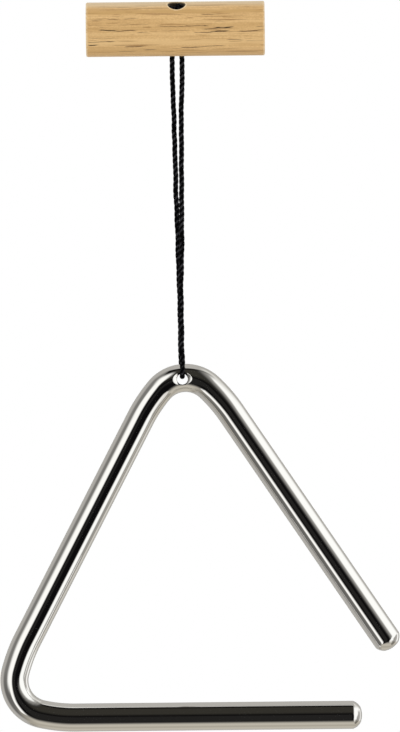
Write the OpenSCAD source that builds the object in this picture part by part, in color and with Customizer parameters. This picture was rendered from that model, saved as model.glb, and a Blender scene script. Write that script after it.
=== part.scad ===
// A triangle, the percussion instrument: a steel rod bent to an open triangle, hung by a cord
// loop from a turned wooden handle.
// The origin is the handle's centre. X runs along the handle, Z is up, and the player faces +Y.
// The rod hangs in a plane behind the handle, because the handle's bore leans back as it goes down.

/* [Handle] */
// Length of the handle
handle_l = 51; // [45:0.1:80]
// Diameter of the handle
handle_d = 15.55; // [14:0.05:22]
// Radius of the eased edge around each end of the handle
handle_edge_r = 0.5; // [0.2:0.1:1.5]

/* [Bore across the handle] */
// Lean of the bore from upright, with its top towards the player
bore_tilt = 26; // [0:1:40]
// Place of the bore along the handle, from its middle
bore_x = 0.4; // [-2:0.1:2]
// Diameter of the upper stretch, which hides the knot
knot_bore_d = 5.2; // [5.1:0.1:6.5]
// Diameter of the lower stretch, which the two strands pass through
cord_bore_d = 4.4; // [4.2:0.1:4.6]
// Point angle of the drill that leaves the seat between the two
drill_angle = 118; // [90:1:140]

/* [Rod] */
// Diameter of the rod
rod_d = 8; // [6:0.1:8]
// Length of the bottom bar's straight run, with its domed end
bar_run = 81.8; // [60:0.1:120]
// Length of the straight run between the two bends
closed_leg_run = 70.8; // [50:0.1:100]
// Length of the open leg's straight run, with its domed end
open_leg_run = 81.3; // [50:0.1:100]
// Angle that the rod turns through at the bottom corner
bottom_turn = 117.6; // [110:0.1:125]
// Angle that the rod turns through at the top
top_turn = 118.5; // [110:0.1:125]
// Radius of a bend along the rod's centreline
bend_r = 9.9; // [8:0.1:16]
// Radius of the gentle shoulder that leads into a bend and out of it
shoulder_r = 44.6; // [30:0.1:80]
// Angle that each shoulder turns through
shoulder_turn = 12.6; // [5:0.1:20]
// Length of the rod's domed end
dome_l = 2.5; // [1.5:0.1:3.5]
// Radius of the dome's crown
crown_r = 6; // [5:0.1:12]
// Radius of the dome's shoulder
dome_shoulder_r = 4.3; // [4.1:0.1:4.8]

/* [Hole through the rod] */
// Diameter of the hole that the cord passes through
hole_d = 3.1; // [2.6:0.1:3.6]
// Width of the hole's broken edge, measured along the rod
countersink_d = 5.6; // [4:0.1:7]
// Included angle of the broken edge
countersink_angle = 138; // [90:1:150]
// Distance of the hole's axis below the rod's centreline
hole_low = 0.3; // [0:0.1:0.6]
// Slope of the rod where the hole is, which lies just before the rod's highest point
hole_slope = 4.9; // [-10:0.1:10]

/* [Hanging] */
// Drop from the handle's axis to the axis of the rod's hole
hang_drop = 100; // [100:1:100]
// Place of the rod's hole along the handle, from its middle
hang_x = 1; // [0.5:0.1:1.5]
// Distance of the rod's plane behind the handle's axis
hang_y = 3.8; // [3.7:0.1:3.9]

/* [Cord] */
// Diameter of the cord
cord_d = 1.25; // [1:0.05:1.3]
// Distance between the two strands inside the handle
strand_pitch = 2.8; // [2.4:0.1:2.8]
// Diameter of the cord where the knot squeezes it
knot_cord_d = 0.7; // [0.6:0.05:0.7]
// Width of the knot
knot_w = 4.8; // [4.7:0.1:5]
// Radius of the eye that is left in the middle of the knot's turns
knot_eye_r = 1.1; // [1:0.05:1.2]
// Climb of the knot's turns over and under each other
knot_rise = 1.2; // [1.1:0.05:1.3]
// Distance between the two strands that run through the knot together
knot_pitch = 0.8; // [0.75:0.05:0.85]
// Height of the knot's middle above the handle's axis, along the bore
knot_h = 5.3; // [5:0.1:5.4]

/* [Hidden] */
$fn = 48;
// A cut runs this far past the face that it opens
overrun = 1;
// Free space between the strands in the handle and the ball at the top of the hanging cord
neck_gap = 0.1;
// Points of the cord's loop: down the back strand, through the rod's hole, up the front strand
cord_route = [
    [-1, 3.8, -7.7], [-1, 3.8, -10], [-1, 3.8, -13], [-0.75, 4.4, -23], [-0.5, 5, -33],
    [-0.25, 5.6, -43], [0, 6.2, -53], [0.25, 6.8, -63], [0.5, 7.4, -73], [0.75, 8, -83],
    [1, 8.6, -93], [1, 8.6, -96], [1, 8.6, -97.6], [1, 8.1, -98.8], [1, 7, -99.2],
    [1, 3.8, -99.2],
    [1, 0.6, -99.2], [1, -0.5, -98.8], [1, -1, -97.6], [1, -1, -96], [1, -1, -93],
    [1.1, -0.4, -83], [1.2, 0.2, -73], [1.3, 0.8, -63], [1.4, 1.4, -53], [1.5, 2, -43],
    [1.6, 2.6, -33], [1.7, 3.2, -23], [1.8, 3.8, -13], [1.8, 3.8, -10], [1.8, 3.8, -7.7]];
// The route's points at which one stretch of the cord ends and the next begins, on the back strand
handle_point = 0;
neck_point = 2;
middle_point = 6;
rod_point = 10;
last_point = len(cord_route) - 1;
// Steps of the cord's surface between two points of the route
run_steps = 3;
bight_steps = 2;
cord_sides = 8;
// Each strand of the knot goes round from this angle to the next, one step at a time
turn_start = 210;
turn_ends = [498, 522];
turn_step = 12;
// Each strand's cut end above its first turn, measured from the knot's middle
cut_ends = [[[-1, -1.4, 2.1], [-0.95, -1.6, 1.7], [-0.7, -1.85, 1.1],
             [-0.25, -1.95, 0.7], [0.3, -1.9, 0.6]],
            [[-0.05, -1.7, 2.1], [0, -1.8, 1.9], [0.3, -1.95, 1.5]]];
// Each strand's way from its last turn down into the narrow stretch of the bore
leads = [[[-1.3, -1.1, -1.85], [-1.4, -0.8, -2.7], [-1.4, -0.3, -3.4]],
         [[-0.4, -1.95, -0.85], [0.15, -1.95, -1.15], [0.7, -1.7, -1.8], [1.15, -1.2, -2.5],
          [1.35, -0.6, -3.2]]];
// The strands lie straight below this depth, measured from the knot's middle
strand_depth = 4.4;
// The bore narrows this far below the knot's middle, where the strands close in
seat_drop = 2.8;

handle_r = handle_d / 2;
rod_r = rod_d / 2;
cord_r = cord_d / 2;
knot_cord_r = knot_cord_d / 2;
knot_bore_r = knot_bore_d / 2;
cord_bore_r = cord_bore_d / 2;
// The centreline of the knot's turns runs between the eye and this reach
knot_reach = knot_w / 2 - knot_cord_r;
seat_h = knot_h - seat_drop;
// Each run and each tight bend of the rod reaches this far into the shoulder next to it
lap = 0.2;
lap_turn = 1;
// A shoulder is thinner by this much in radius, so that it lies inside what reaches into it
lap_step = 0.01;
// The strands in the handle end just short of the ball at the top of the hanging cord
exit_reach = norm([cord_route[0][1], cord_route[0][2]]) - cord_r - neck_gap;

// A unit vector along v
function along(v) = v / norm(v);

// Direction of the path p at its point i
function heading(p, i) = along(p[min(i + 1, len(p) - 1)] - p[max(i - 1, 0)]);

// Slope of the route at point i, for each unit of its length
function slope(p, i) =
    let (a = max(i - 1, 0), b = min(i + 1, len(p) - 1))
    (p[b] - p[a]) / (norm(p[b] - p[i]) + norm(p[i] - p[a]));

// Point of the smooth curve from p[i] to p[i + 1], at the share t of that span
function on_span(p, i, t) =
    let (l = norm(p[i + 1] - p[i]), a = p[i], b = p[i + 1], u = slope(p, i) * l, v = slope(p, i + 1) * l)
    a + u * t + (3 * (b - a) - 2 * u - v) * pow(t, 2) + (2 * (a - b) + u + v) * pow(t, 3);

// Points of the smooth curve along the route, from one of its points to another
function stretch(from, to, steps) =
    [for (i = [from : to - 1]) for (k = [0 : steps - 1]) on_span(cord_route, i, k / steps), cord_route[to]];

// Direction across the path that stays as near as it can to the last one
function carried(n, t) = along(n - (n * t) * t);

// One ring of points around each point of the path p, with one radius for all or one for each
function rings(p, r, sides) =
    let (first = carried([0.6, 0.8, 0.1], heading(p, 0)))
    [for (i = 0, n = first; i < len(p); i = i + 1, n = i < len(p) ? carried(n, heading(p, i)) : n)
        let (m = cross(heading(p, i), n))
        for (k = [0 : sides - 1])
            p[i] + (is_num(r) ? r : r[i]) * (cos(360 * k / sides) * n + sin(360 * k / sides) * m)];

// A tube along the path p, closed flat at both ends
module tube(p, r, sides) {
    last = (len(p) - 1) * sides;
    polyhedron(
        points = rings(p, r, sides),
        faces = concat(
            [[for (k = [0 : sides - 1]) k]],
            [[for (k = [sides - 1 : -1 : 0]) last + k]],
            [for (i = [0 : len(p) - 2]) for (k = [0 : sides - 1])
                let (a = i * sides + k, b = i * sides + (k + 1) % sides) [a, a + sides, b]],
            [for (i = [0 : len(p) - 2]) for (k = [0 : sides - 1])
                let (a = i * sides + k, b = i * sides + (k + 1) % sides) [b, a + sides, b + sides]]));
}

// Places its children in the bore's frame, where Z runs up the bore
module in_bore() {
    translate([bore_x, 0, 0]) rotate([bore_tilt, 0, 0]) children();
}

// Half the outline of a round bar of length l, whose ends have an eased edge
module eased_outline(l, r, edge) {
    translate([0, -l / 2]) square([r - edge, l]);
    translate([0, edge - l / 2]) square([r, l - 2 * edge]);
    for (side = [-1, 1]) translate([r - edge, side * (l / 2 - edge)]) circle(r = edge);
}

// The bore: narrow for the strands, wide for the knot, with the drill's cone between them
module stepped_bore() {
    cone_h = (knot_bore_r - cord_bore_r) / tan(drill_angle / 2);
    translate([0, 0, -handle_r - overrun]) cylinder(h = handle_d + 2 * overrun, r = cord_bore_r);
    translate([0, 0, seat_h]) cylinder(h = handle_r + overrun - seat_h, r = knot_bore_r);
    translate([0, 0, seat_h - cone_h]) cylinder(h = cone_h, r1 = cord_bore_r, r2 = knot_bore_r);
}

// The turned handle with its bore
module wooden_handle() {
    color("#d2ac72") difference() {
        rotate([0, 90, 0]) rotate_extrude() eased_outline(handle_l, handle_r, handle_edge_r);
        in_bore() stepped_bore();
    }
}

// Point of an overhand knot's turns at the angle t, between its two strands
function turn_point(t) =
    let (a = (knot_reach - knot_eye_r) / 2, b = (knot_reach + knot_eye_r) / 2)
    [a * sin(t) + b * sin(2 * t), a * cos(t) - b * cos(2 * t), -knot_rise * sin(3 * t)];

// Point of a strand that lies beside those turns, above them or below them
function knot_point(t, side) =
    turn_point(t) + side * knot_pitch / 2 * carried([0, 0, 1], along(turn_point(t + 1) - turn_point(t - 1)));

// The path p with each of its inner points drawn halfway to its neighbours
function eased(p) =
    let (n = len(p))
    concat([p[0]], [for (i = [1 : n - 2]) (p[i - 1] + 2 * p[i] + p[i + 1]) / 4], [p[n - 1]]);

// Path of one strand, from its cut end through the overhand knot to the bore's lower mouth
function knot_path(i) =
    let (side = 2 * i - 1, x = side * strand_pitch / 2)
    eased(concat(cut_ends[i],
                 [for (t = [turn_start : turn_step : turn_ends[i]]) knot_point(t, side)],
                 leads[i], [[x, 0, -strand_depth], [x, 0, -knot_h - exit_reach]]));

// Radius of that strand at each point of its path, thicker as it leaves the knot
function knot_radii(i, n) =
    let (m = len(leads[i]) + 2)
    [for (k = [0 : n - 1]) knot_cord_r + (cord_r - knot_cord_r) * max(0, min(1, (k - n + m + 1) / (m - 1)))];

// The cord in the handle: both strands with the overhand knot that they share
module cord_knot() {
    color("#161616") in_bore() translate([0, 0, knot_h]) for (i = [0, 1]) {
        path = knot_path(i);
        tube(path, knot_radii(i, len(path)), cord_sides);
    }
}

// The cord's first bend below the handle, each strand with a ball that turns under the bore
module cord_neck() {
    color("#161616") {
        tube(stretch(handle_point, neck_point, 1), cord_r, cord_sides);
        tube(stretch(last_point - neck_point, last_point - handle_point, 1), cord_r, cord_sides);
        translate(cord_route[0]) sphere(r = cord_r);
        translate(cord_route[last_point]) sphere(r = cord_r);
    }
}

// Both strands of the cord between two points of the back strand
module strand_pair(from, to) {
    color("#161616") {
        tube(stretch(from, to, run_steps), cord_r, cord_sides);
        tube(stretch(last_point - to, last_point - from, run_steps), cord_r, cord_sides);
    }
}

module cord_upper_run() {
    strand_pair(neck_point, middle_point);
}

module cord_lower_run() {
    strand_pair(middle_point, rod_point);
}

// The bottom of the loop, down one face of the rod, through its hole and up the other face
module cord_bight() {
    color("#161616") tube(stretch(rod_point, last_point - rod_point, bight_steps), cord_r, cord_sides);
}

// A straight run of rod along Z, with its children at its end
module run(length) {
    translate([0, 0, -lap]) cylinder(h = length + 2 * lap, r = rod_r);
    translate([0, 0, length]) children();
}

// The last straight run of the rod, with its dome
module last_run(length) {
    translate([0, 0, -lap]) cylinder(h = length - dome_l + lap, r = rod_r);
    translate([0, 0, length - dome_l]) domed_end();
}

// A bend in the plane of X and Z that starts along Z and turns towards X, longer by over at each end
module arc(radius, turn, r, over) {
    rotate([90, 0, 180]) rotate([0, 0, -over]) rotate_extrude(angle = turn + 2 * over)
        translate([radius, 0]) circle(r = r);
}

// A gentle shoulder, whose ends lie inside the runs on both its sides, with its children at its end
module shoulder() {
    translate([shoulder_r, 0, 0]) {
        arc(shoulder_r, shoulder_turn, rod_r - lap_step, 0);
        rotate([0, shoulder_turn, 0]) translate([-shoulder_r, 0, 0]) children();
    }
}

// The tight middle of a bend, with its children at its end
module bend(turn) {
    translate([bend_r, 0, 0]) {
        arc(bend_r, turn, rod_r, lap_turn);
        rotate([0, turn, 0]) translate([-bend_r, 0, 0]) children();
    }
}

// The domed end of the rod: a flat crown with a rounder shoulder
module domed_end() {
    shoulder_h = sqrt(pow(dome_shoulder_r, 2) - pow(rod_r, 2));
    rotate_extrude() intersection() {
        square([rod_r, dome_l]);
        translate([0, -shoulder_h]) circle(r = dome_shoulder_r);
        translate([0, dome_l - crown_r]) circle(r = crown_r);
    }
}

// Turn of a bend's tight middle, between its two shoulders
function middle_turn(turn) = turn - 2 * shoulder_turn;

// The whole rod, built both ways from its top bend, with the hole's place at the origin
module bent_rod() {
    turn = middle_turn(top_turn);
    // the closed leg stands this far from upright, and its shoulder adds to that
    start = 90 - (180 - bottom_turn - shoulder_turn);
    translate([bend_r * sin(hole_slope), 0, -bend_r * cos(hole_slope)]) {
        rotate([0, start, 0]) arc(bend_r, turn, rod_r, lap_turn);
        rotate([0, start, 0]) translate([-bend_r, 0, 0]) rotate([180, 0, 0])
            shoulder() run(closed_leg_run)
            shoulder() bend(middle_turn(bottom_turn))
            shoulder() last_run(bar_run);
        rotate([0, start + turn, 0]) translate([-bend_r, 0, 0])
            shoulder() last_run(open_leg_run);
    }
}

// The hole across the rod, with both of its edges broken
module cord_hole() {
    depth = (countersink_d - hole_d) / 2 / tan(countersink_angle / 2);
    rotate([90, 0, 0]) cylinder(h = rod_d + 2 * overrun, d = hole_d, center = true);
    for (side = [-1, 1]) rotate([side * 90, 0, 0]) translate([0, 0, rod_r - depth])
        cylinder(h = 2 * depth, d1 = hole_d, d2 = 2 * countersink_d - hole_d);
}

// The instrument's sounding body
module triangle_bar() {
    color("silver") translate([hang_x, hang_y, -hang_drop]) difference() {
        translate([0, 0, hole_low]) bent_rod();
        cord_hole();
    }
}

wooden_handle();
cord_knot();
cord_neck();
cord_upper_run();
cord_lower_run();
cord_bight();
triangle_bar();
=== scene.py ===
"""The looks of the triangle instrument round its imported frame: chrome, turned wood, laid cord.

Shapes are in mm in the part's own axes, and MM turns them into Blender's metres.
"""

import math

import bpy
import numpy as np
from mathutils import Matrix, Vector


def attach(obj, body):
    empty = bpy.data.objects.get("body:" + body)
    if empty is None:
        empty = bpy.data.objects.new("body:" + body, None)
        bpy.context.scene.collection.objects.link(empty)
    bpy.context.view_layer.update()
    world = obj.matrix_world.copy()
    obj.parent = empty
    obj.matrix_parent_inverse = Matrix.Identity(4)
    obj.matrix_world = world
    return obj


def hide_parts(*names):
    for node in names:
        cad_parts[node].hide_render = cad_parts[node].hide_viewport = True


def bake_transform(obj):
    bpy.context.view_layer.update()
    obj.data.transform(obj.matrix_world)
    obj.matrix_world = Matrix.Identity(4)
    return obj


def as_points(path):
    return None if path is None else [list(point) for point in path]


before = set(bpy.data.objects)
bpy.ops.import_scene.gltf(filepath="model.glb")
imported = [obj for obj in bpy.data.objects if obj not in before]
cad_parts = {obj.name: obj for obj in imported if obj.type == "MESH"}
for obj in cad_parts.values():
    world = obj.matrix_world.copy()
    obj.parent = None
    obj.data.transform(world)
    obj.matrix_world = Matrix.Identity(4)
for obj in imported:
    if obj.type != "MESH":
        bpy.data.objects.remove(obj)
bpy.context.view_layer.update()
MM = 0.001
scene = bpy.context.scene
scene.view_settings.view_transform = "Standard"

# ---------------------------------------------------------------- camera
PX = 3.5  # pixels of the photo to a millimetre
PHOTO_H = 732  # pixels
ROLL = math.radians(0.57)  # how far the photo is turned
LENS, SENSOR = 500.0, 36.0
AIM = (6.09, 2, -96.3)  # the point in the middle of the photo
cam_data = bpy.data.cameras.new("camera")
cam_data.lens = LENS
cam_data.sensor_width = SENSOR
cam = bpy.data.objects.new("camera", cam_data)
scene.collection.objects.link(cam)
distance = LENS / SENSOR * PHOTO_H / PX * MM
right = Vector((math.cos(ROLL), 0, -math.sin(ROLL)))
up = Vector((math.sin(ROLL), 0, math.cos(ROLL)))
look = Matrix((right, up, (0, -1, 0))).transposed().to_4x4()
look.translation = Vector((AIM[0] * MM, AIM[1] * MM - distance, AIM[2] * MM))
cam.matrix_world = look
scene.camera = cam

# ---------------------------------------------------------------- the cord's route
ROUTE = np.array([
    [-1, 3.8, -7.7], [-1, 3.8, -10], [-1, 3.8, -13], [-0.75, 4.4, -23], [-0.5, 5, -33],
    [-0.25, 5.6, -43], [0, 6.2, -53], [0.25, 6.8, -63], [0.5, 7.4, -73], [0.75, 8, -83],
    [1, 8.6, -93], [1, 8.6, -96], [1, 8.6, -97.6], [1, 8.1, -98.8], [1, 7, -99.2],
    [1, 3.8, -99.2],
    [1, 0.6, -99.2], [1, -0.5, -98.8], [1, -1, -97.6], [1, -1, -96], [1, -1, -93],
    [1.1, -0.4, -83], [1.2, 0.2, -73], [1.3, 0.8, -63], [1.4, 1.4, -53], [1.5, 2, -43],
    [1.6, 2.6, -33], [1.7, 3.2, -23], [1.8, 3.8, -13], [1.8, 3.8, -10], [1.8, 3.8, -7.7]])
BACK, FRONT = -1, 1  # the two strands
STRAND_X = {BACK: -1.0, FRONT: 1.8}  # their places below the handle
ROD_Y = 3.8  # depth of both strands there, and of the rod's middle
# heights: between the two short pieces, end of a strand's curve, top of the long loop
BEND_Z, NECK_Z, LOOP_Z = -10.4, -12, -14.4
STEP, KNOT_STEP = 0.25, 0.2  # between the points of a route
LOBE_R = 0.76  # reach of the three laid strands, whose mean is the cord's radius
LAY, LAY_DEPTH = 5.1, 0.24  # length of one turn of the lay, and its grooves as a share of LOBE_R
CORD_SIDES, ROD_SIDES, HANDLE_SIDES, CUT_SIDES = 24, 72, 144, 96  # of the meshes' rings
BORE_TILT = math.radians(27.2)
BORE_X = 0.4
BORE_APART = 1.4  # from the bore's middle to each strand's, at the lower mouth
# a limp cord is never quite straight: how far each strand strays to the right, down its height
STRAY_DOWN = [15, 20.4, 26.1, 31.8, 34.7, 37.5, 43.2, 49, 54.7, 60.4, 66.1, 71.8, 77.5, 83.2,
              88.9, 93.2, 96]
STRAY_BACK = [-0.07, 0.04, 0.13, 0, -0.2, -0.06, -0.06, -0.06, -0.09, 0, 0.16, 0.2, 0.08, 0.11,
              0.12, -0.1, -0.22]
STRAY_FRONT = [-0.13, -0.15, -0.17, 0.13, 0.02, 0, -0.2, -0.1, -0.04, -0.17, -0.31, -0.37, -0.36,
               -0.4, -0.3, 0, 0.08]


def smooth_route(pts, step):
    """Points every step along the smooth curve through pts."""
    pts = np.asarray(pts, float)
    n = len(pts)
    out = []
    for i in range(n - 1):
        length = np.linalg.norm(pts[i + 1] - pts[i])

        def slope(k):
            a, b = max(k - 1, 0), min(k + 1, n - 1)
            around = np.linalg.norm(pts[b] - pts[k]) + np.linalg.norm(pts[k] - pts[a])
            return (pts[b] - pts[a]) / around

        u, v = slope(i) * length, slope(i + 1) * length
        a, b = pts[i], pts[i + 1]
        square, cube = 3 * (b - a) - 2 * u - v, 2 * (a - b) + u + v
        for t in np.arange(0, 1, 1 / max(1, round(length / step))):
            out.append(a + u * t + square * t**2 + cube * t**3)
    out.append(pts[-1])
    return np.array(out)


def frames(path):
    """Headings of a path and two directions across it that don't spin about it."""
    t = np.gradient(path, axis=0)
    t /= np.linalg.norm(t, axis=1, keepdims=True)
    n = np.zeros_like(t)
    v = np.cross(t[0], (0.31, 0.9, 0.27))  # any direction across the first heading
    for i in range(len(t)):
        v = v - (v @ t[i]) * t[i]
        v /= np.linalg.norm(v)
        n[i] = v
    return t, n, np.cross(t, n)


def mesh_object(name, verts, faces, crest=None, smooth=True):
    """A new object in the scene. Faces of more than four corners are caps with sharp edges."""
    data = bpy.data.meshes.new(name)
    data.from_pydata([tuple(v) for v in verts], [], faces)
    if crest:
        data.attributes.new("crest", "FLOAT", "POINT").data.foreach_set("value", crest)
    data.polygons.foreach_set("use_smooth", [smooth] * len(data.polygons))
    for poly in data.polygons:
        if len(poly.vertices) > 4:
            for i in poly.loop_indices:
                data.edges[data.loops[i].edge_index].use_edge_sharp = True
    data.update()
    obj = bpy.data.objects.new(name, data)
    scene.collection.objects.link(obj)
    return obj


def tube_faces(rings, sides, start=0):
    """Faces of a closed tube of rings of points, the first of which is the vertex start."""
    faces = []
    for i in range(rings - 1):
        for k in range(sides):
            a, b = start + i * sides + k, start + i * sides + (k + 1) % sides
            faces.append((a, b, b + sides, a + sides))
    end = start + rings * sides
    faces.append(tuple(range(start + sides - 1, start - 1, -1)))
    faces.append(tuple(range(end - sides, end)))
    return faces


def laid_tube(path, stretches, radius=LOBE_R):
    """Vertices, faces and crests of a three-strand cord on stretches of a path.
    Its lay turns on along all of the path. A crest is 1 on top of a strand and 0 in a groove."""
    verts, faces, crest = [], [], []
    _, n, m = frames(path)
    run = np.r_[0, np.cumsum(np.linalg.norm(np.diff(path, axis=0), axis=1))]
    r = np.broadcast_to(radius, len(path))
    for first, last in stretches:
        faces += tube_faces(last + 1 - first, CORD_SIDES, len(verts))
        for i in range(first, last + 1):
            for k in range(CORD_SIDES):
                a = 2 * math.pi * k / CORD_SIDES
                lobe = abs(math.cos(1.5 * (a - 2 * math.pi * run[i] / LAY)))
                q = r[i] * (1 - LAY_DEPTH + LAY_DEPTH * lobe ** 0.8)
                crest.append(lobe)
                verts.append((path[i] + q * (math.cos(a) * n[i] + math.sin(a) * m[i])) * MM)
    return verts, faces, crest


# ---------------------------------------------------------------- shader helpers
def srgb(*v):
    """Linear colour from 0 to 255 display values."""
    return tuple((x / 255 / 12.92 if x <= 10 else ((x / 255 + 0.055) / 1.055) ** 2.4) for x in v)


def warm(a):
    """A grey of the display value a, a little warm."""
    return srgb(a, a * 0.985, a * 0.955)


class Tree:
    """Short names for the shader nodes that this scene uses."""

    def __init__(self, tree):
        self.tree = tree
        tree.nodes.clear()

    def node(self, kind, **values):
        n = self.tree.nodes.new(kind)
        for k, v in values.items():
            setattr(n, k, v)
        return n

    def put(self, socket, value):
        """Links another socket to this one, or sets this one to a value."""
        if isinstance(value, bpy.types.NodeSocket):
            self.tree.links.new(value, socket)
        elif isinstance(value, (tuple, list)) and socket.type == "RGBA" and len(value) == 3:
            socket.default_value = (*value, 1)
        else:
            socket.default_value = value

    def coordinates(self, kind="Object"):
        return self.node("ShaderNodeTexCoord").outputs[kind]

    def math(self, op, *args):
        n = self.node("ShaderNodeMath", operation=op)
        for i, a in enumerate(args):
            self.put(n.inputs[i], a)
        return n.outputs[0]

    def add(self, a, b):
        return self.math("ADD", a, b)

    def mul(self, *args):
        out = args[0]
        for a in args[1:]:
            out = self.math("MULTIPLY", out, a)
        return out

    def length(self, a, b):
        return self.math("SQRT", self.add(self.mul(a, a), self.mul(b, b)))

    def ramp(self, x, a, b, c=0.0, d=1.0):
        """Smooth change from c, where x is a, to d, where x is b."""
        n = self.node("ShaderNodeMapRange", interpolation_type="SMOOTHSTEP")
        if a > b:
            a, b, c, d = b, a, d, c
        for i, v in enumerate((x, a, b, c, d)):
            self.put(n.inputs[i], v)
        return n.outputs[0]

    def within(self, x, a, b, c, d):
        """Two shares: x comes in from a to b, and it goes out again from c to d."""
        return self.ramp(x, a, b), self.ramp(x, d, c)

    def mix(self, f, a, b):
        """A mix of two colours: a where f is 0, b where it is 1."""
        n = self.node("ShaderNodeMix", data_type="RGBA")
        self.put(n.inputs[0], f)
        self.put(n.inputs[6], a)
        self.put(n.inputs[7], b)
        return n.outputs[2]

    def over(self, below, colour, *shares):
        """A colour laid over another, as strongly as all the shares together allow."""
        return self.mix(self.mul(*shares), below, colour)

    def mix_shaders(self, f, a, b):
        """A mix of two shaders: a where f is 0, b where it is 1."""
        n = self.node("ShaderNodeMixShader")
        for i, v in enumerate((f, a, b)):
            self.put(n.inputs[i], v)
        return n.outputs[0]

    def xyz(self, socket):
        n = self.node("ShaderNodeSeparateXYZ")
        self.put(n.inputs[0], socket)
        return n.outputs

    def noise(self, vector, scale, detail, rough=0.5):
        n = self.node("ShaderNodeTexNoise")
        self.put(n.inputs["Vector"], vector)
        n.inputs["Scale"].default_value = scale
        n.inputs["Detail"].default_value = detail
        n.inputs["Roughness"].default_value = rough
        return n.outputs["Fac"]

    def stretched(self, vector, size, shift=(0, 0, 0)):
        n = self.node("ShaderNodeMapping")
        self.put(n.inputs["Vector"], vector)
        n.inputs["Scale"].default_value = size
        n.inputs["Location"].default_value = shift
        return n.outputs[0]

    def grain(self, vector, size, detail, rough=0.5, shift=(0, 0, 0)):
        """Noise with a size of its own along each axis, in features to the metre."""
        return self.noise(self.stretched(vector, size, shift), 1, detail, rough)

    def wander(self, vector, size, reach, detail=1, shift=(0, 0, 0)):
        """The same noise, but about zero and as wide as reach."""
        return self.mul(self.add(self.grain(vector, size, detail, shift=shift), -0.5), reach)

    def bump(self, height, strength, distance):
        n = self.node("ShaderNodeBump")
        self.put(n.inputs["Height"], height)
        n.inputs["Strength"].default_value = strength
        n.inputs["Distance"].default_value = distance
        return n.outputs[0]


def material(name):
    """A new material, its tree and its one shader."""
    m = bpy.data.materials.new(name)
    m.use_nodes = True
    t = Tree(m.node_tree)
    out = t.node("ShaderNodeOutputMaterial")
    shader = t.node("ShaderNodeBsdfPrincipled")
    t.put(out.inputs[0], shader.outputs[0])
    return m, t, shader


def dress(obj, mat):
    """Gives an object its one material."""
    obj.data.materials.clear()
    obj.data.materials.append(mat)


# ---------------------------------------------------------------- cord
def cord_material():
    """Black twisted yarn, with a painted highlight of pale glints on its crests."""
    m, t, s = material("black_cord")
    tc = t.coordinates()
    fine = t.noise(t.stretched(tc, (1, 1, 0.4)), 5200, 2)
    glint_flecks = t.ramp(t.noise(tc, 900, 2), 0.38, 0.66, 0, 1)
    crest = t.node("ShaderNodeAttribute", attribute_name="crest").outputs["Fac"]
    yarn = t.mix(fine, srgb(0, 0, 0.5), srgb(6, 6, 8))
    # painted highlight: pale glints on the crests of the strands
    yarn_painted_glints = t.over(yarn, srgb(54, 54, 58), t.ramp(crest, 0.55, 1.0), glint_flecks)
    t.put(s.inputs["Base Color"], yarn_painted_glints)
    s.inputs["Roughness"].default_value = 0.5
    s.inputs["Specular IOR Level"].default_value = 0.02
    t.put(s.inputs["Normal"], t.bump(fine, 0.6, 0.00008))
    return m


CORD = cord_material()


def in_bore(p):
    """A point of the bore's frame, with Z up the bore, in the handle's frame."""
    x, y, z = p
    c, s = math.cos(BORE_TILT), math.sin(BORE_TILT)
    return np.array([x + BORE_X, y * c - z * s, y * s + z * c])


def strand(side):
    """A strand from inside the bore to just above the place where the long loop begins."""
    pts = [in_bore((side * BORE_APART, 0, z)) for z in (-5.6, -6.6, -7.6)]
    pts += [(STRAND_X[side], ROD_Y, z) for z in (-9.2, BEND_Z, NECK_Z)]
    below = np.arange(NECK_Z - STEP, LOOP_Z + 0.1, -STEP)
    return np.concatenate([smooth_route(pts, STEP), [(STRAND_X[side], ROD_Y, z) for z in below]])


def loop_path():
    """The long loop of cord below that, down through the rod's hole and up again."""
    p = smooth_route(ROUTE, STEP)
    bottom = int(np.argmin(p[:, 2]))
    first = int(np.argmin(abs(p[:bottom, 2] - LOOP_Z)))
    last = bottom + int(np.argmin(abs(p[bottom:, 2] - LOOP_Z)))
    p = p[first : last + 1]
    front = np.arange(len(p)) > len(p) / 2
    z = p[:, 2]
    # the cord strays where it hangs free, and less near the handle and the rod's hole
    above_rod = np.clip((z + 98) / 4, 0, 1)
    free = np.clip((-z - 15) / 8, 0, 1) * above_rod
    low = np.clip((-z - 50) / 25, 0, 1) * above_rod
    high = np.clip((z + 48) / 10, 0, 1)
    wave = 0.09 * np.sin(z / 3.3 + 2.1 * front) + 0.06 * np.sin(z / 1.37 + 1 + front)
    p[:, 0] += free * (wave - 0.16 * front * high) + low * np.where(front, 0.14, -0.3)
    p[:, 0] += free * np.where(front, np.interp(-z, STRAY_DOWN, STRAY_FRONT),
                               np.interp(-z, STRAY_DOWN, STRAY_BACK))
    p[:, 1] += 0.6 * free * 0.09 * np.sin(z / 2.3 + 3 * front)
    return p


def free_cord():
    """The short pieces that bend at the handle's mouth and just below it, and the long loop."""
    back, middle, front = strand(BACK), loop_path(), strand(FRONT)
    whole = np.concatenate([back, middle, front[::-1]])
    end = len(whole) - 1
    loop_first, loop_last = len(back), len(back) + len(middle) - 1
    bend_first = int(np.argmin(abs(back[:, 2] - BEND_Z)))
    bend_last = end - int(np.argmin(abs(front[:, 2] - BEND_Z)))
    neck_parts = [(0, bend_first), (bend_last, end)]
    sway_parts = [(bend_first, loop_first), (loop_last, bend_last)]
    neck = mesh_object("cord_neck_look", *laid_tube(whole, neck_parts))
    sway = mesh_object("cord_sway_look", *laid_tube(whole, sway_parts))
    loop = mesh_object("cord_loop_look", *laid_tube(whole, [(loop_first, loop_last)]))
    for o in (neck, sway, loop):
        dress(o, CORD)
    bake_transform(neck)
    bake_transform(sway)
    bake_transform(loop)
    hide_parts("cord_neck")
    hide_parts("cord_upper_run", "cord_lower_run", "cord_bight")
    return neck, sway, loop, middle


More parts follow.
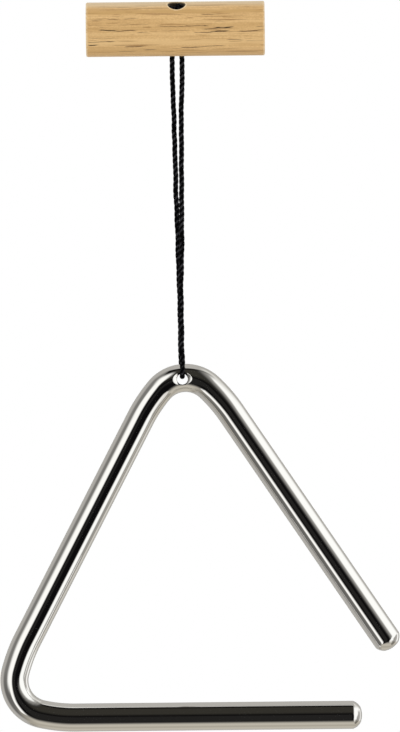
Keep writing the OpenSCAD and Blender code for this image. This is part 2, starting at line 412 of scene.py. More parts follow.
# the knot, a doubled overhand knot in the bore's frame; its eye is smaller than in the part's
# source, and its strands are thicker
KNOT_H = 5.3  # height of its middle in the bore
EYE, REACH, RISE = 0.8, 2.05, 1.2  # nearest to and farthest from its middle, swing up and down
PITCH = 0.8  # between its two strands
FIRST_TURN, LAST_TURNS, TURN_STEP = 210, (498, 522), 12  # degrees along its turns
# the strands' radius in the knot: it holds for the share KNOTTED of their length, and from the
# share LOOSE on it is LOBE_R
SQUEEZED_R, KNOTTED, LOOSE = 0.54, 0.7, 0.8
CUT_ENDS = [[[-1, -1.4, 2.1], [-0.95, -1.6, 1.7], [-0.7, -1.85, 1.1],
             [-0.25, -1.95, 0.7], [0.3, -1.9, 0.6]],
            [[-0.05, -1.7, 2.1], [0, -1.8, 1.9], [0.3, -1.95, 1.5]]]
LEADS = [[[-1.3, -1.1, -1.85], [-1.4, -0.8, -2.7], [-1.4, -0.3, -3.4]],
         [[-0.4, -1.95, -0.85], [0.15, -1.95, -1.15], [0.7, -1.7, -1.8],
          [1.15, -1.2, -2.5], [1.35, -0.6, -3.2]]]
# below the knot the two strands lie once round each other: distance from the middle, turn, height
TWIST = [(0.9, 0, -4.2), (0.6, 60, -5.0), (0.6, 150, -5.9), (0.6, 240, -6.8), (0.85, 325, -7.8),
         (BORE_APART, 360, -9.3), (BORE_APART, 360, -KNOT_H - 5.8)]


def turn_point(deg):
    """A point of the overhand knot's turns, between the two strands."""
    t = math.radians(deg)
    a, b = (REACH - EYE) / 2, (REACH + EYE) / 2
    return np.array([a * math.sin(t) + b * math.sin(2 * t), a * math.cos(t) - b * math.cos(2 * t),
                     -RISE * math.sin(3 * t)])


def knot():
    """The knot in the bore, with its cut ends above and both strands down to the lower mouth."""
    verts, faces, crest = [], [], []
    for i, side in enumerate((BACK, FRONT)):
        pts = list(CUT_ENDS[i])
        for deg in range(FIRST_TURN, LAST_TURNS[i] + 1, TURN_STEP):
            h = turn_point(deg + 1) - turn_point(deg - 1)
            h /= np.linalg.norm(h)
            u = np.array([0, 0, 1]) - h[2] * h
            pts.append(turn_point(deg) + side * PITCH / 2 * u / np.linalg.norm(u))
        pts += LEADS[i]
        for r, deg, z in TWIST:
            a = math.radians(deg)
            pts.append(side * np.array([r * math.cos(a), r * math.sin(a), 0]) + (0, 0, z))
        pts = np.array(pts)
        pts = np.concatenate([pts[:1], (pts[:-2] + 2 * pts[1:-1] + pts[2:]) / 4, pts[-1:]])
        p = smooth_route(pts, KNOT_STEP) + (0, 0, KNOT_H)
        p = np.array([in_bore(q) for q in p])
        radius = np.interp(np.linspace(0, 1, len(p)), [0, KNOTTED, LOOSE, 1],
                           [SQUEEZED_R, SQUEEZED_R, LOBE_R, LOBE_R])
        v, f, c = laid_tube(p, [(0, len(p) - 1)], radius)
        faces += [tuple(k + len(verts) for k in face) for face in f]
        verts += v
        crest += c
    o = mesh_object("cord_knot_look", verts, faces, crest)
    dress(o, CORD)
    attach(o, "handle_body")
    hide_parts("cord_knot")
    return o


neck_obj, sway_obj, loop_obj, loop_run = free_cord()
knot_obj = knot()
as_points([tuple(p * MM) for p in loop_run[::4]] + [tuple(loop_run[-1] * MM)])

# ---------------------------------------------------------------- exact surfaces
OFF_COST, LEAST_FIT = 8, 0.6  # what a mm off a surface costs, and the least score of a fit


def set_normals(obj, surfaces):
    """Gives each face the normals of the surface that it lies on.
    A surface takes points in mm and gives their normals and their distance from it."""
    data = obj.data
    co = np.empty(len(data.vertices) * 3)
    data.vertices.foreach_get("co", co)
    co = co.reshape(-1, 3) / MM
    found = [f(co) for f in surfaces]
    loops = np.empty(len(data.loops), int)
    data.loops.foreach_get("vertex_index", loops)
    out = np.empty((len(data.loops), 3))
    for poly in data.polygons:
        corners = slice(poly.loop_start, poly.loop_start + poly.loop_total)
        idx = loops[corners]
        face = np.array(poly.normal)
        best, pick = -math.inf, None
        for normal, off in found:
            score = (normal[idx] @ face).mean() - OFF_COST * abs(off[idx]).mean()
            if score > best:
                best, pick = score, normal
        out[corners] = pick[idx] if best > LEAST_FIT else face
    data.polygons.foreach_set("use_smooth", [True] * len(data.polygons))
    data.normals_split_custom_set(out.tolist())


def unit(v):
    """Rows of length 1."""
    return v / np.maximum(np.linalg.norm(v, axis=1, keepdims=True), 1e-9)


def turned(profile, centre, axis, side, sides):
    """Vertices and faces of a closed form turned about an axis through centre.
    The profile holds (reach along the axis, radius), and each ring begins at side."""
    axis, side = np.array(axis, float), np.array(side, float)
    other = np.cross(axis, side)
    verts = []
    for along, r in profile:
        for k in range(sides):
            a = 2 * math.pi * k / sides
            across = r * (math.cos(a) * side + math.sin(a) * other)
            verts.append((np.array(centre) + along * axis + across) * MM)
    return verts, tube_faces(len(profile), sides)


def cut_out(obj, cutter):
    """Takes the cutter's form away from the object."""
    mod = obj.modifiers.new("cut", "BOOLEAN")
    mod.object, mod.operation, mod.solver = cutter, "DIFFERENCE", "EXACT"
    bpy.context.view_layer.update()
    whole = obj.evaluated_get(bpy.context.evaluated_depsgraph_get())
    data = bpy.data.meshes.new_from_object(whole)
    obj.modifiers.clear()
    obj.data = data
    bpy.data.objects.remove(cutter)


# ---------------------------------------------------------------- rod, as in the part's source
ROD_R, BEND_R, SHOULDER_R = 4.0, 9.9, 44.6
# degrees: the turn of a shoulder, of the lower bend and of the top one, and the slope at the hole
SHOULDER, BOTTOM, TOP, SLOPE = 12.6, 117.6, 118.5, 4.9
BAR, CLOSED, OPEN, DOME = 81.8, 70.8, 81.3, 2.5  # straight runs, and the reach of a domed end
TIGHT_STEP, WIDE_STEP, RUN_STEP = 2.2, 1.2, 4  # degrees on bends and on shoulders, mm on a run
HOLE = np.array([1.0, -100.0])  # X and Z
HOLE_R, HOLE_LOW = 1.55, 0.3  # HOLE_LOW is how far it lies below the rod's middle
# an end is part of a ball and then of a wider one, the crown, whose centre lies further back;
# MEET is where they meet, and POLISHED is how far polishing has softened the edges
BALL_R, CROWN_R, CROWN_BACK, MEET, POLISHED = 4.3, 6, 3.5, 2.016, 0.22
ARC_POINTS, TIP_RINGS = 30, 34  # of each piece of an end's profile, and of the finished end
# the polished flare at each mouth of the hole: radius, lean of its normal from the hole's axis,
# height from the rod's middle
LIP_R, RIM_R, FLARE_END_R = 1.62, 2.8, 3.0  # the rim lies on the rod's front and back
FLARE_R = np.r_[np.linspace(HOLE_R, LIP_R, 6), np.linspace(1.68, FLARE_END_R, 20)]
FLARE_LEAN = np.radians(np.interp(FLARE_R, [HOLE_R, LIP_R, RIM_R, FLARE_END_R], [88, 41, 19, 15]))
FLARE_H = np.r_[0, np.cumsum(np.diff(FLARE_R) * np.tan((FLARE_LEAN[1:] + FLARE_LEAN[:-1]) / 2))]
FLARE_H += ROD_R - np.interp(RIM_R, FLARE_R, FLARE_H)


def walk(p, heading, hand, steps):
    """Points and headings along the rod's centreline, in the plane of X and Z.
    A step is (radius, degrees) or (length, 0), and hand is 1 where the rod turns left."""
    out = [(p, heading)]
    for size, turn in steps:
        h = math.radians(heading)
        if turn:
            n = max(2, round(abs(turn) / (TIGHT_STEP if size < SHOULDER_R else WIDE_STEP)))
            c = p + size * hand * np.array([-math.sin(h), math.cos(h)])
            for i in range(1, n + 1):
                now = heading + hand * turn * i / n
                a = math.radians(now)
                out.append((c - size * hand * np.array([-math.sin(a), math.cos(a)]), now))
            heading += hand * turn
        else:
            for s in np.linspace(0, size, max(2, round(size / RUN_STEP)))[1:]:
                out.append((p + s * np.array([math.cos(h), math.sin(h)]), heading))
        p = out[-1][0]
    return out


def centreline():
    """Points and headings between the two domed ends, from the bar's to the open leg's."""
    top = HOLE + (0, HOLE_LOW)
    rise = 180 - BOTTOM - SHOULDER
    fall = TOP - 2 * SHOULDER - rise
    one = walk(top, SLOPE + 180, 1, [(BEND_R, rise - SLOPE), (SHOULDER_R, SHOULDER), (CLOSED, 0),
                                     (SHOULDER_R, SHOULDER), (BEND_R, BOTTOM - 2 * SHOULDER),
                                     (SHOULDER_R, SHOULDER), (BAR - DOME, 0)])
    two = walk(top, SLOPE, -1, [(BEND_R, fall + SLOPE), (SHOULDER_R, SHOULDER), (OPEN - DOME, 0)])
    pts = [p for p, _ in reversed(one)] + [p for p, _ in two[1:]]
    turn = [h + 180 for _, h in reversed(one)] + [h for _, h in two[1:]]
    h = np.radians(turn)
    return np.array(pts), np.stack([np.cos(h), np.sin(h)], 1)


def dome():
    """Reach past the run, radius and lean of the normal along the rod's end.
    Its profile is drawn past the pole too, so that polishing softens it evenly there."""
    back = math.sqrt(BALL_R**2 - ROD_R**2)
    meet_r = math.sqrt(CROWN_R**2 - (MEET + CROWN_BACK) ** 2)
    a = np.linspace(math.asin(ROD_R / BALL_R), math.asin(meet_r / BALL_R), ARC_POINTS)
    b = np.linspace(math.acos((MEET + CROWN_BACK) / CROWN_R), 0, ARC_POINTS)[1:]
    run_end = np.stack([np.linspace(-2.4, 0, ARC_POINTS), np.full(ARC_POINTS, ROD_R)], 1)
    ball = np.stack([BALL_R * np.cos(a) - back, BALL_R * np.sin(a)], 1)[1:]
    crown = np.stack([CROWN_R * np.cos(b) - CROWN_BACK, CROWN_R * np.sin(b)], 1)
    pts = np.concatenate([run_end, ball, crown])
    past = 40
    pts = np.concatenate([pts, (pts[:-1] * (1, -1))[::-1][:past]])
    run = np.r_[0, np.cumsum(np.linalg.norm(np.diff(pts, axis=0), axis=1))]
    pole = run[-past - 1]
    samples = 500
    grid = np.linspace(0, run[-1], samples)
    dense = np.stack([np.interp(grid, run, pts[:, 0]), np.interp(grid, run, pts[:, 1])], 1)
    k = np.exp(-0.5 * (np.arange(-30, 31) * grid[1] / POLISHED) ** 2)
    soft = np.stack([np.convolve(dense[:, i], k / k.sum(), "same") for i in (0, 1)], 1)
    # the finished end begins a little before the end of the run
    at = np.interp(np.linspace(0.8, pole, TIP_RINGS), grid, np.arange(samples))
    out = np.stack([np.interp(at, np.arange(samples), soft[:, i]) for i in (0, 1)], 1)
    t = np.gradient(soft, axis=0)
    lean = np.interp(at, np.arange(samples), np.arctan2(-t[:, 1], t[:, 0]))
    out[-1, 1] = 0.02  # the last ring stays open a little
    return out[:, 0], out[:, 1], lean


POINTS, HEADS = centreline()
TIP_S, TIP_R, TIP_LEAN = dome()


def rod_surface(co):
    """The rod's round skin, with its two domed ends."""
    p = co[:, [0, 2]]
    near = np.zeros_like(p)
    best = np.full(len(p), 1e9)
    for a, b in zip(POINTS[:-1], POINTS[1:]):
        v = b - a
        s = np.clip((p - a) @ v / (v @ v), 0, 1)
        q = a + s[:, None] * v
        d = np.linalg.norm(p - q, axis=1)
        near[d < best], best = q[d < best], np.minimum(d, best)
    v = np.stack([co[:, 0] - near[:, 0], co[:, 1] - ROD_Y, co[:, 2] - near[:, 1]], 1)
    normal, off = unit(v), np.linalg.norm(v, axis=1) - ROD_R
    for tip, head in ((POINTS[0], -HEADS[0]), (POINTS[-1], HEADS[-1])):
        s = (p - tip) @ head
        radial = np.stack([co[:, 0] - tip[0] - s * head[0], co[:, 1] - ROD_Y,
                           co[:, 2] - tip[1] - s * head[1]], 1)
        r = np.linalg.norm(radial, axis=1)
        on = (s > -2) & (r < 5) & (s < 4)  # the points round this end
        gap = np.hypot(s[:, None] - TIP_S, r[:, None] - TIP_R)
        lean = TIP_LEAN[gap.argmin(1)][:, None]
        n = np.cos(lean) * unit(radial) + np.sin(lean) * np.array([head[0], 0, head[1]])
        normal[on], off[on] = unit(n)[on], gap.min(1)[on]
    return normal, off


def hole_surface(co):
    """The hole's straight wall and the polished flare at both its mouths."""
    v = (co - (HOLE[0], 0, HOLE[1])) * (1, 0, 1)
    r = np.linalg.norm(v, axis=1)
    h = co[:, 1] - ROD_Y
    wall = abs(h) < FLARE_H[0] - 0.01
    lean = np.where(wall, math.pi / 2, np.interp(r, FLARE_R, FLARE_LEAN))
    outward = np.stack([0 * h, np.sign(h) * np.cos(lean), 0 * h], 1)
    n = -unit(v) * np.sin(lean)[:, None] + outward
    flare_off = (abs(h) - np.interp(r, FLARE_R, FLARE_H)) * np.cos(lean)
    return unit(n), np.where(wall, r - HOLE_R, flare_off)


def rod():
    """The bent rod with its domed ends and its cross hole."""
    rings = [(POINTS[0] - s * HEADS[0], HEADS[0], r) for s, r in zip(TIP_S[::-1], TIP_R[::-1])]
    rings += [(p, h, ROD_R) for p, h in zip(POINTS[1:-1], HEADS[1:-1])]
    rings += [(POINTS[-1] + s * HEADS[-1], HEADS[-1], r) for s, r in zip(TIP_S, TIP_R)]
    verts = []
    for p, h, r in rings:
        for k in range(ROD_SIDES):
            a = 2 * math.pi * k / ROD_SIDES
            q = p + r * math.cos(a) * np.array([-h[1], h[0]])
            verts.append((q[0] * MM, (ROD_Y + r * math.sin(a)) * MM, q[1] * MM))
    o = mesh_object("rod_look", verts, tube_faces(len(rings), ROD_SIDES))
    flare = [(h, r) for h, r in zip(FLARE_H, FLARE_R)] + [(6, 3.1)]  # to past the rod's skin
    profile = [(-h, r) for h, r in reversed(flare)] + flare
    cutter = turned(profile, (HOLE[0], ROD_Y, HOLE[1]), (0, 1, 0), (0, 0, 1), CUT_SIDES)
    cut_out(o, mesh_object("cutter", *cutter))
    set_normals(o, [rod_surface, hole_surface])
    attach(o, "bar_body")
    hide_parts("triangle_bar")
    return o


# ---------------------------------------------------------------- chrome
def chrome_material():
    """Polished chrome, a little uneven."""
    m, t, s = material("chrome")
    tc = t.coordinates()
    s.inputs["Base Color"].default_value = (0.985, 0.98, 0.97, 1)
    s.inputs["Metallic"].default_value = 1
    t.put(s.inputs["Roughness"], t.ramp(t.noise(tc, 260, 3), 0.3, 0.7, 0.008, 0.024))
    t.put(s.inputs["Normal"], t.bump(t.noise(tc, 90, 2), 0.02, 0.0005))
    return m


CHROME = chrome_material()
dress(rod(), CHROME)
dress(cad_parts["triangle_bar"], CHROME)

# ---------------------------------------------------------------- handle
HANDLE_L, HANDLE_R, EASED = 51.0, 7.775, 0.5
KNOT_BORE_R, CORD_BORE_R = 2.6, 2.2
SEAT, STEP_CONE, BORE_REACH = 2.5, 0.24, 12  # the bore's step, its cone, and past the handle's skin
BORE = np.array([0, -math.sin(BORE_TILT), math.cos(BORE_TILT)])


def turned_surface(co):
    """The handle's round skin."""
    v = co * (0, 1, 1)
    return unit(v), np.linalg.norm(v, axis=1) - HANDLE_R


def end_surface(side):
    """One flat end of the handle."""
    def f(co):
        return np.tile([side, 0.0, 0.0], (len(co), 1)), side * co[:, 0] - HANDLE_L / 2
    return f


def eased_surface(side):
    """The eased rim of one end."""
    def f(co):
        v = co - (HANDLE_R - EASED) * unit(co * (0, 1, 1)) - (side * (HANDLE_L / 2 - EASED), 0, 0)
        return unit(v), np.linalg.norm(v, axis=1) - EASED
    return f


def bore_surface(radius):
    """The wall of one stretch of the bore."""
    def f(co):
        v = co - (BORE_X, 0, 0)
        v = v - (v @ BORE)[:, None] * BORE
        return -unit(v), np.linalg.norm(v, axis=1) - radius
    return f


def wooden_handle():
    """The turned handle with its eased ends and its stepped bore."""
    edge = [(HANDLE_L / 2 - EASED + EASED * math.sin(a), HANDLE_R - EASED + EASED * math.cos(a))
            for a in np.radians(np.linspace(0, 90, 9))]
    edge += [(HANDLE_L / 2, r) for r in (5, 2.5, 0.05)]
    side = [(x, HANDLE_R) for x in np.arange(-22.5, 23, 2.5)]
    profile = [(-x, r) for x, r in reversed(edge)] + side + edge
    form = turned(profile, (0, 0, 0), (1, 0, 0), (0, 0, 1), HANDLE_SIDES)
    o = mesh_object("handle_look", *form)
    bore = [(-BORE_REACH, CORD_BORE_R), (SEAT - STEP_CONE, CORD_BORE_R),
            (SEAT, KNOT_BORE_R), (BORE_REACH, KNOT_BORE_R)]
    cutter = turned(bore, (BORE_X, 0, 0), BORE, (1, 0, 0), CUT_SIDES)
    cut_out(o, mesh_object("cutter", *cutter))
    set_normals(o, [turned_surface, end_surface(-1), end_surface(1), eased_surface(-1),
                    eased_surface(1), bore_surface(KNOT_BORE_R), bore_surface(CORD_BORE_R)])
    o.visible_glossy = False
    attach(o, "handle_body")
    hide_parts("wooden_handle")
    return o


# ---------------------------------------------------------------- wood
BASE, LIGHT, DARK = srgb(219, 180, 122), srgb(227, 190, 133), srgb(196, 157, 98)
HEART_Y, HEART_Z = 22.0, -2.0  # of the growth rings, far behind the handle
RING_GAP, RING_SHIFT = 1.9, 7.12
# soft bands along the side that faces the camera: height, half width, how dark or, below zero,
# how light, and both ends
BANDS = [(4.6, 0.85, 1, -30, -6), (4.85, 0.75, 1, -8, 30), (-5.9, 1.5, 0.3, -30, 0),
         (-3.9, 1.3, -0.65, -30, 30), (-0.4, 0.9, 0.2, 4, 30), (1.9, 0.7, -0.35, -4, 30),
         (-1.6, 0.8, -0.4, -30, 30)]
# dark pores on that side: x and y of both ends in pixels of the photo, half width in mm, depth
PORES = [
    (99, 30.2, 118, 31.2, 0.16, 0.85), (116, 31.2, 136, 30.2, 0.13, 0.7),
    (90, 20, 103, 19.7, 0.13, 0.42), (107, 19.4, 119, 19, 0.14, 0.5),
    (124, 18.8, 138, 18.4, 0.12, 0.4), (98, 26.6, 104, 28.2, 0.1, 0.35),
    (158, 26.3, 186, 26.5, 0.13, 0.42), (185, 25.9, 208, 25.4, 0.15, 0.62),
    (203, 29, 218, 28, 0.12, 0.55), (214, 27.9, 233, 27, 0.2, 1.0),
    (194, 32.7, 212, 32, 0.13, 0.55), (209, 31.9, 228, 30.5, 0.18, 0.9),
    (238, 31.1, 264, 29.8, 0.14, 0.6), (88, 42.4, 115, 41.5, 0.15, 0.62),
    (88, 45.3, 98, 44.8, 0.16, 0.85), (125, 46.7, 144, 46, 0.13, 0.55),
    (144, 49.6, 156, 49, 0.15, 0.8), (181, 47.3, 199, 46.9, 0.14, 0.65),
    (198, 46.6, 224, 45, 0.12, 0.4), (227, 39.4, 243, 39.7, 0.12, 0.45),
    (245, 40.2, 264, 40.6, 0.1, 0.3), (137, 32.6, 148, 32.2, 0.12, 0.42),
    (160, 31, 190, 30.4, 0.1, 0.3), (201, 14, 220, 14, 0.14, 0.4),
    (256, 26.6, 264, 26.4, 0.12, 0.5), (215, 21.3, 224, 21.2, 0.12, 0.3),
    (120, 24, 148, 24.4, 0.1, 0.28), (88, 38, 120, 38.6, 0.1, 0.25),
    (118, 51, 136, 50.6, 0.11, 0.3), (160, 51.4, 176, 51, 0.1, 0.25)]
DEEP = 0.75  # pores deeper than this are nearly black
MIDDLE_PX = (175.0, 28.05)  # the handle's middle in the photo


def photo_point(px, py):
    """X and Z in mm of a pixel of the photo."""
    a, b = px - MIDDLE_PX[0], MIDDLE_PX[1] - py
    return ((a * math.cos(ROLL) + b * math.sin(ROLL)) / PX,
            (b * math.cos(ROLL) - a * math.sin(ROLL)) / PX)


def wood_figure(t, tc, y, z):
    """The wood's colour under its pores, the late wood of its rings and its fine grain."""
    ring = t.add(t.length(t.add(y, -HEART_Y), t.add(z, -HEART_Z)),
                 t.wander(tc, (60, 90, 90), 1.3, shift=(4.4, 0, 0)))
    ring = t.math("FRACT", t.mul(t.add(ring, RING_SHIFT), 1 / RING_GAP))
    late = t.add(t.ramp(ring, 0.55, 1.0), t.ramp(ring, 0.0, 0.14, 1.0, 0.0))
    late = t.math("MINIMUM", late, 1.0)
    broad = t.grain(tc, (9, 330, 330), 3, 0.6, (0.3, 1.7, 0.2))
    col = t.over(BASE, DARK, t.ramp(broad, 0.42, 0.72, 0, 0.8))
    col = t.over(col, LIGHT, t.ramp(broad, 0.46, 0.25, 0, 0.8))
    col = t.over(col, srgb(176, 136, 78), late, 0.32)
    fine = t.grain(tc, (55, 2600, 2600), 3, 0.6)
    col = t.over(col, srgb(172, 131, 74), t.ramp(fine, 0.47, 0.72, 0, 0.5))
    cells = t.grain(tc, (1500, 2300, 2300), 2, 0.7)
    col = t.over(col, srgb(182, 142, 88), t.ramp(cells, 0.36, 0.66, 0, 0.4))
    return col, late, fine


def wood_marks(t, tc, col, x, y, z):
    """The bands and pores of the side that faces the camera, and small pores all round."""
    facing = t.ramp(y, 1.0, -1.5)
    height = t.add(z, t.wander(tc, (120, 20, 20), 0.7))
    for z0, w, depth, x0, x1 in BANDS:
        near = t.ramp(t.math("ABSOLUTE", t.add(height, -z0)), w, 0.1)
        span = t.mul(*t.within(x, x0, x0 + 3, x1 - 3, x1), facing)
        col = t.over(col, DARK if depth > 0 else LIGHT, near, span, abs(depth))
    pores = t.grain(tc, (42, 1500, 1500), 1, 0.4, (3.1, 0.4, 5.5))
    col = t.over(col, srgb(130, 90, 42), t.ramp(pores, 0.65, 0.7), 0.5)
    dashes = t.grain(tc, (130, 2300, 2300), 1, 0.4, (7.7, 2.2, 1.5))
    col = t.over(col, srgb(142, 100, 48), t.ramp(dashes, 0.64, 0.7), 0.5)
    broken = t.ramp(t.grain(tc, (420, 900, 900), 1), 0.3, 0.55, 0.5, 1)
    ragged = t.add(z, t.wander(tc, (300, 100, 100), 0.5))
    for px0, py0, px1, py1, w, depth in PORES:
        (xa, za), (xb, zb) = photo_point(px0, py0), photo_point(px1, py1)
        k = (zb - za) / (xb - xa)
        line = t.math("MULTIPLY_ADD", x, k, za - k * xa)
        near = t.ramp(t.math("ABSOLUTE", t.math("SUBTRACT", ragged, line)), w * 1.1, w * 0.45)
        span = t.mul(*t.within(x, xa - 0.5, xa + 0.8, xb - 1.2, xb + 0.6))
        ink = srgb(38, 20, 4) if depth > DEEP else srgb(80, 52, 22)
        col = t.over(col, ink, near, span, broken, facing, min(1, depth * 1.6))
    return col


def wood_edges(t, tc, col, x, y, z, late):
    """Painted sheen along the top, a painted highlight round the bore's mouth, painted shade on its
    walls, painted highlights on the eased rims, and end grain.
    """
    # painted sheen: paler along the top, where light from above falls on it
    top_sheen = t.add(z, t.wander(tc, (40, 300, 300), 1.1, 2, (9.1, 0, 3)))
    col = t.over(col, srgb(212, 195, 163), t.ramp(top_sheen, 5.6, 7.5), 0.62)
    # round the bore: a painted highlight on the edge of its mouth outside, and painted shade
    # darkening its wall inside
    across = t.add(t.mul(y, math.cos(BORE_TILT)), t.mul(z, math.sin(BORE_TILT)))
    from_bore = t.length(t.add(x, -BORE_X), across)
    from_axis = t.length(y, z)
    from_middle = t.math("ABSOLUTE", x)
    # noise that breaks the painted highlights up into patches
    highlight_patches = t.ramp(t.noise(tc, 1600, 2), 0.35, 0.6, 0.35, 1)
    col = t.over(col, srgb(236, 214, 174), t.ramp(from_bore, 3.08, 2.72),
                 t.ramp(from_axis, 7.5, 7.72), highlight_patches, 0.85)
    # painted shade: the bore's wall darkened nearly to black
    bore_painted_shade = t.mul(t.ramp(from_axis, 7.74, 7.2), t.ramp(from_middle, 20, 19))
    col = t.over(col, srgb(30, 22, 12), bore_painted_shade, 0.95)
    # painted highlight along the eased rims of both ends
    edge = t.mul(t.ramp(from_middle, 24.9, 25.2), t.ramp(from_axis, 7.0, 7.3), highlight_patches)
    col = t.over(col, srgb(232, 210, 172), edge, 0.6)
    # end grain is a little darker, with its rings as arcs and its pores as dots
    end = t.mul(t.ramp(from_middle, 25.3, 25.48), t.ramp(from_axis, 7.4, 7.2))
    dots = t.ramp(t.grain(tc, (100, 3600, 3600), 1, 0.3), 0.6, 0.68, 0.1, 1)
    col = t.over(col, srgb(192, 152, 96), end, 0.6)
    col = t.over(col, srgb(160, 120, 66), end, late, 0.45)
    return t.over(col, srgb(122, 86, 44), end, dots, 0.45)


def wood_material():
    """Pale turned wood, waxed and used."""
    m, t, s = material("turned_wood")
    tc = t.coordinates()
    x, y, z = t.xyz(t.stretched(tc, (1 / MM, 1 / MM, 1 / MM)))
    col, late, fine = wood_figure(t, tc, y, z)
    col = wood_marks(t, tc, col, x, y, z)
    t.put(s.inputs["Base Color"], wood_edges(t, tc, col, x, y, z, late))
    s.inputs["Roughness"].default_value = 0.5
    s.inputs["Specular IOR Level"].default_value = 0.4
    s.inputs["Sheen Weight"].default_value = 0.22
    s.inputs["Sheen Roughness"].default_value = 0.35
    s.inputs["Sheen Tint"].default_value = (1, 0.97, 0.9, 1)
    t.put(s.inputs["Normal"], t.bump(fine, 0.12, 0.0001))
    return m


WOOD = wood_material()
dress(wooden_handle(), WOOD)
dress(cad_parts["wooden_handle"], WOOD)

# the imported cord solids, which the cord's own meshes stand for
for name in ("cord_knot", "cord_neck", "cord_upper_run", "cord_lower_run", "cord_bight"):
    dress(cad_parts[name], CORD)


# ---------------------------------------------------------------- the studio round it
def room(t, p, q, phi):
    """Colours of the room that polished metal sees: two tall windows, a pale floor and much dark.
    As the rod sees them, p and q are degrees to the right of the camera and above it, and phi is
    degrees away from it."""

    def grey(a, b, f):
        return t.mix(f, warm(a), warm(b))

    # grey walls, paler behind the object and high up
    col = t.mix(t.ramp(p, -10, 30), grey(100, 120, t.ramp(q, -25, 25)),
                grey(134, 158, t.ramp(q, -45, -20)))
    col = t.over(col, warm(174), t.ramp(t.add(phi, t.ramp(p, -70, -50, -5, 0)), 84, 108))
    col = t.over(col, warm(178), *t.within(p, -40, -20, 20, 40), t.ramp(q, 82, 89))
    # a pale floor, which begins nearer on the left
    low = t.add(q, t.ramp(p, -12, -34, 0, -10))
    boards = t.mix(t.ramp(p, -48, -14), srgb(146, 141, 131), srgb(188, 182, 169))
    boards = t.over(boards, srgb(168, 162, 149), *t.within(q, -108, -100, -87, -80), 0.8)
    col = t.over(col, boards, t.ramp(low, -38, -72), t.ramp(phi, 150, 120), t.ramp(p, -62, -42))
    # a bright wall over the right window
    col = t.over(col, srgb(214, 212, 206), t.ramp(p, 30, 52), t.ramp(q, 48, 70),
                 t.ramp(phi, 130, 112))
    # the dark room round the camera, with its rug and ceiling
    col = t.over(col, srgb(12, 11, 12), *t.within(p, -42, -30, 38, 60), t.ramp(low, -64, -38),
                 t.ramp(q, 91, 84))
    col = t.over(col, srgb(34, 33, 32), *t.within(p, -20, -12, 0, 10), *t.within(q, -46, -34, 0, 8))
    col = t.over(col, srgb(50, 48, 43), *t.within(p, -30, -14, 14, 32), *t.within(q, 6, 30, 68, 80))
    # the grey wall beside the right window
    col = t.over(col, grey(74, 150, t.ramp(p, 20, 44)), *t.within(p, 16, 31, 50, 70),
                 *t.within(q, -6, 12, 70, 96))
    # low down beside the right window a chest in the shade, and the window's light on the floor
    col = t.over(col, srgb(118, 114, 106), t.ramp(p, 50, 60), *t.within(phi, 76, 84, 102, 112),
                 *t.within(q, -84, -74, -54, -44))
    col = t.over(col, warm(224), *t.within(p, 34, 42, 54, 69), *t.within(q, -59, -49, -32, -22))
    # the right window and then the left one; low down a jamb cuts off each one's outer side
    jamb = t.ramp(t.add(p, t.ramp(q, 12, -28, -6, 9)), 88, 74)
    col = t.over(col, srgb(255, 255, 252),
                 t.ramp(t.add(p, t.ramp(q, 0, 25, 0, -2.2)), 37, 49.5), t.ramp(p, 118, 90),
                 t.math("MAXIMUM", t.ramp(q, 15, 45), jamb), *t.within(q, -43, -33, 52, 80))
    slant = t.add(t.add(p, t.ramp(q, 0, -24, 0, 10)), t.ramp(q, 17, 30, 0, -4))
    jamb = t.ramp(t.add(p, t.ramp(q, -30, -45, 0, -3)), -50, -41)
    col = t.over(col, srgb(255, 254, 250),
                 t.ramp(slant, -15.2, -25.2), t.ramp(t.add(p, t.ramp(q, 30, 42, 0, -12)), -70, -45),
                 t.math("MAXIMUM", t.ramp(q, -24, 0), jamb), *t.within(q, -52, -44, 46, 68))
    # behind the object a dark doorway in a pale frame, and a lamp panel to its right
    col = t.over(col, srgb(186, 183, 176), t.ramp(phi, 144, 150))
    col = t.over(col, srgb(26, 25, 24), t.ramp(phi, 152, 177))
    return t.over(col, srgb(250, 249, 246), *t.within(phi, 112, 118, 132, 137),
                  t.ramp(p, 60, 80), *t.within(q, -68, -44, 45, 60))


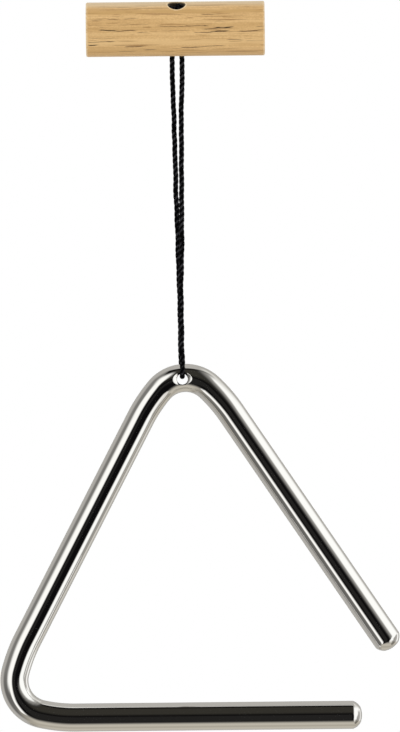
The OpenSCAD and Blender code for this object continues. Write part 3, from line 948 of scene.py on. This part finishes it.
def studio():
    """White to the camera, the room to polished metal, and soft light to wood and cord."""
    world = bpy.data.worlds.new("studio")
    scene.world = world
    world.use_nodes = True
    t = Tree(world.node_tree)

    def background(colour, strength=1.0):
        n = t.node("ShaderNodeBackground")
        t.put(n.inputs[0], colour)
        t.put(n.inputs[1], strength)
        return n.outputs[0]

    x, y, z = t.xyz(t.coordinates("Generated"))
    phi = t.mul(t.math("ARCCOSINE", t.mul(y, -1.0)), 180 / math.pi)
    flat = t.math("SQRT", t.add(t.add(t.mul(x, x), t.mul(z, z)), 1e-9))
    p = t.math("DIVIDE", t.mul(phi, x), flat)
    q = t.math("DIVIDE", t.mul(phi, z), flat)
    soft = t.ramp(t.add(t.mul(z, 0.75), t.mul(y, -0.65)), -1.0, 1.0, 0.93, 1.1)
    path = t.node("ShaderNodeLightPath")
    seen = t.mix_shaders(path.outputs["Is Glossy Ray"], background((1, 0.995, 0.985), soft),
                         background(room(t, p, q, phi)))
    seen = t.mix_shaders(path.outputs["Is Camera Ray"], seen, background((1, 1, 1)))
    t.put(t.node("ShaderNodeOutputWorld").inputs[0], seen)


studio()

FLOOR_AT, FLOOR_R = (6, 60, -250), 700


def floor():
    """A pale floor under the hanging instrument, which polished metal doesn't mirror.
    It fades out towards its rim and doesn't show from below."""
    rings = [(0, 0.05), (0, FLOOR_R / 2), (0, FLOOR_R)]
    verts, faces = turned(rings, FLOOR_AT, (0, 0, 1), (1, 0, 0), CUT_SIDES)
    o = mesh_object("floor", verts, [f for f in faces if len(f) == 4], smooth=False)
    m = bpy.data.materials.new("pale_floor")
    m.use_nodes = True
    t = Tree(m.node_tree)
    tc = t.coordinates()
    x, y, _ = t.xyz(t.stretched(tc, (1, 1, 1), (-FLOOR_AT[0] * MM, -FLOOR_AT[1] * MM, 0)))
    rim = t.ramp(t.length(x, y), 0.3, 0.69)  # metres from its middle
    matt = t.node("ShaderNodeBsdfDiffuse")
    t.put(matt.inputs[0], t.mix(t.noise(tc, 40, 2), srgb(244, 243, 240), srgb(248, 247, 245)))
    clear = t.node("ShaderNodeBsdfTransparent")
    glossy = t.node("ShaderNodeLightPath").outputs["Is Glossy Ray"]
    back = t.node("ShaderNodeNewGeometry").outputs["Backfacing"]
    hide = t.math("MAXIMUM", t.math("MAXIMUM", glossy, back), rim)
    mixed = t.mix_shaders(hide, matt.outputs[0], clear.outputs[0])
    t.put(t.node("ShaderNodeOutputMaterial").inputs[0], mixed)
    dress(o, m)


floor()
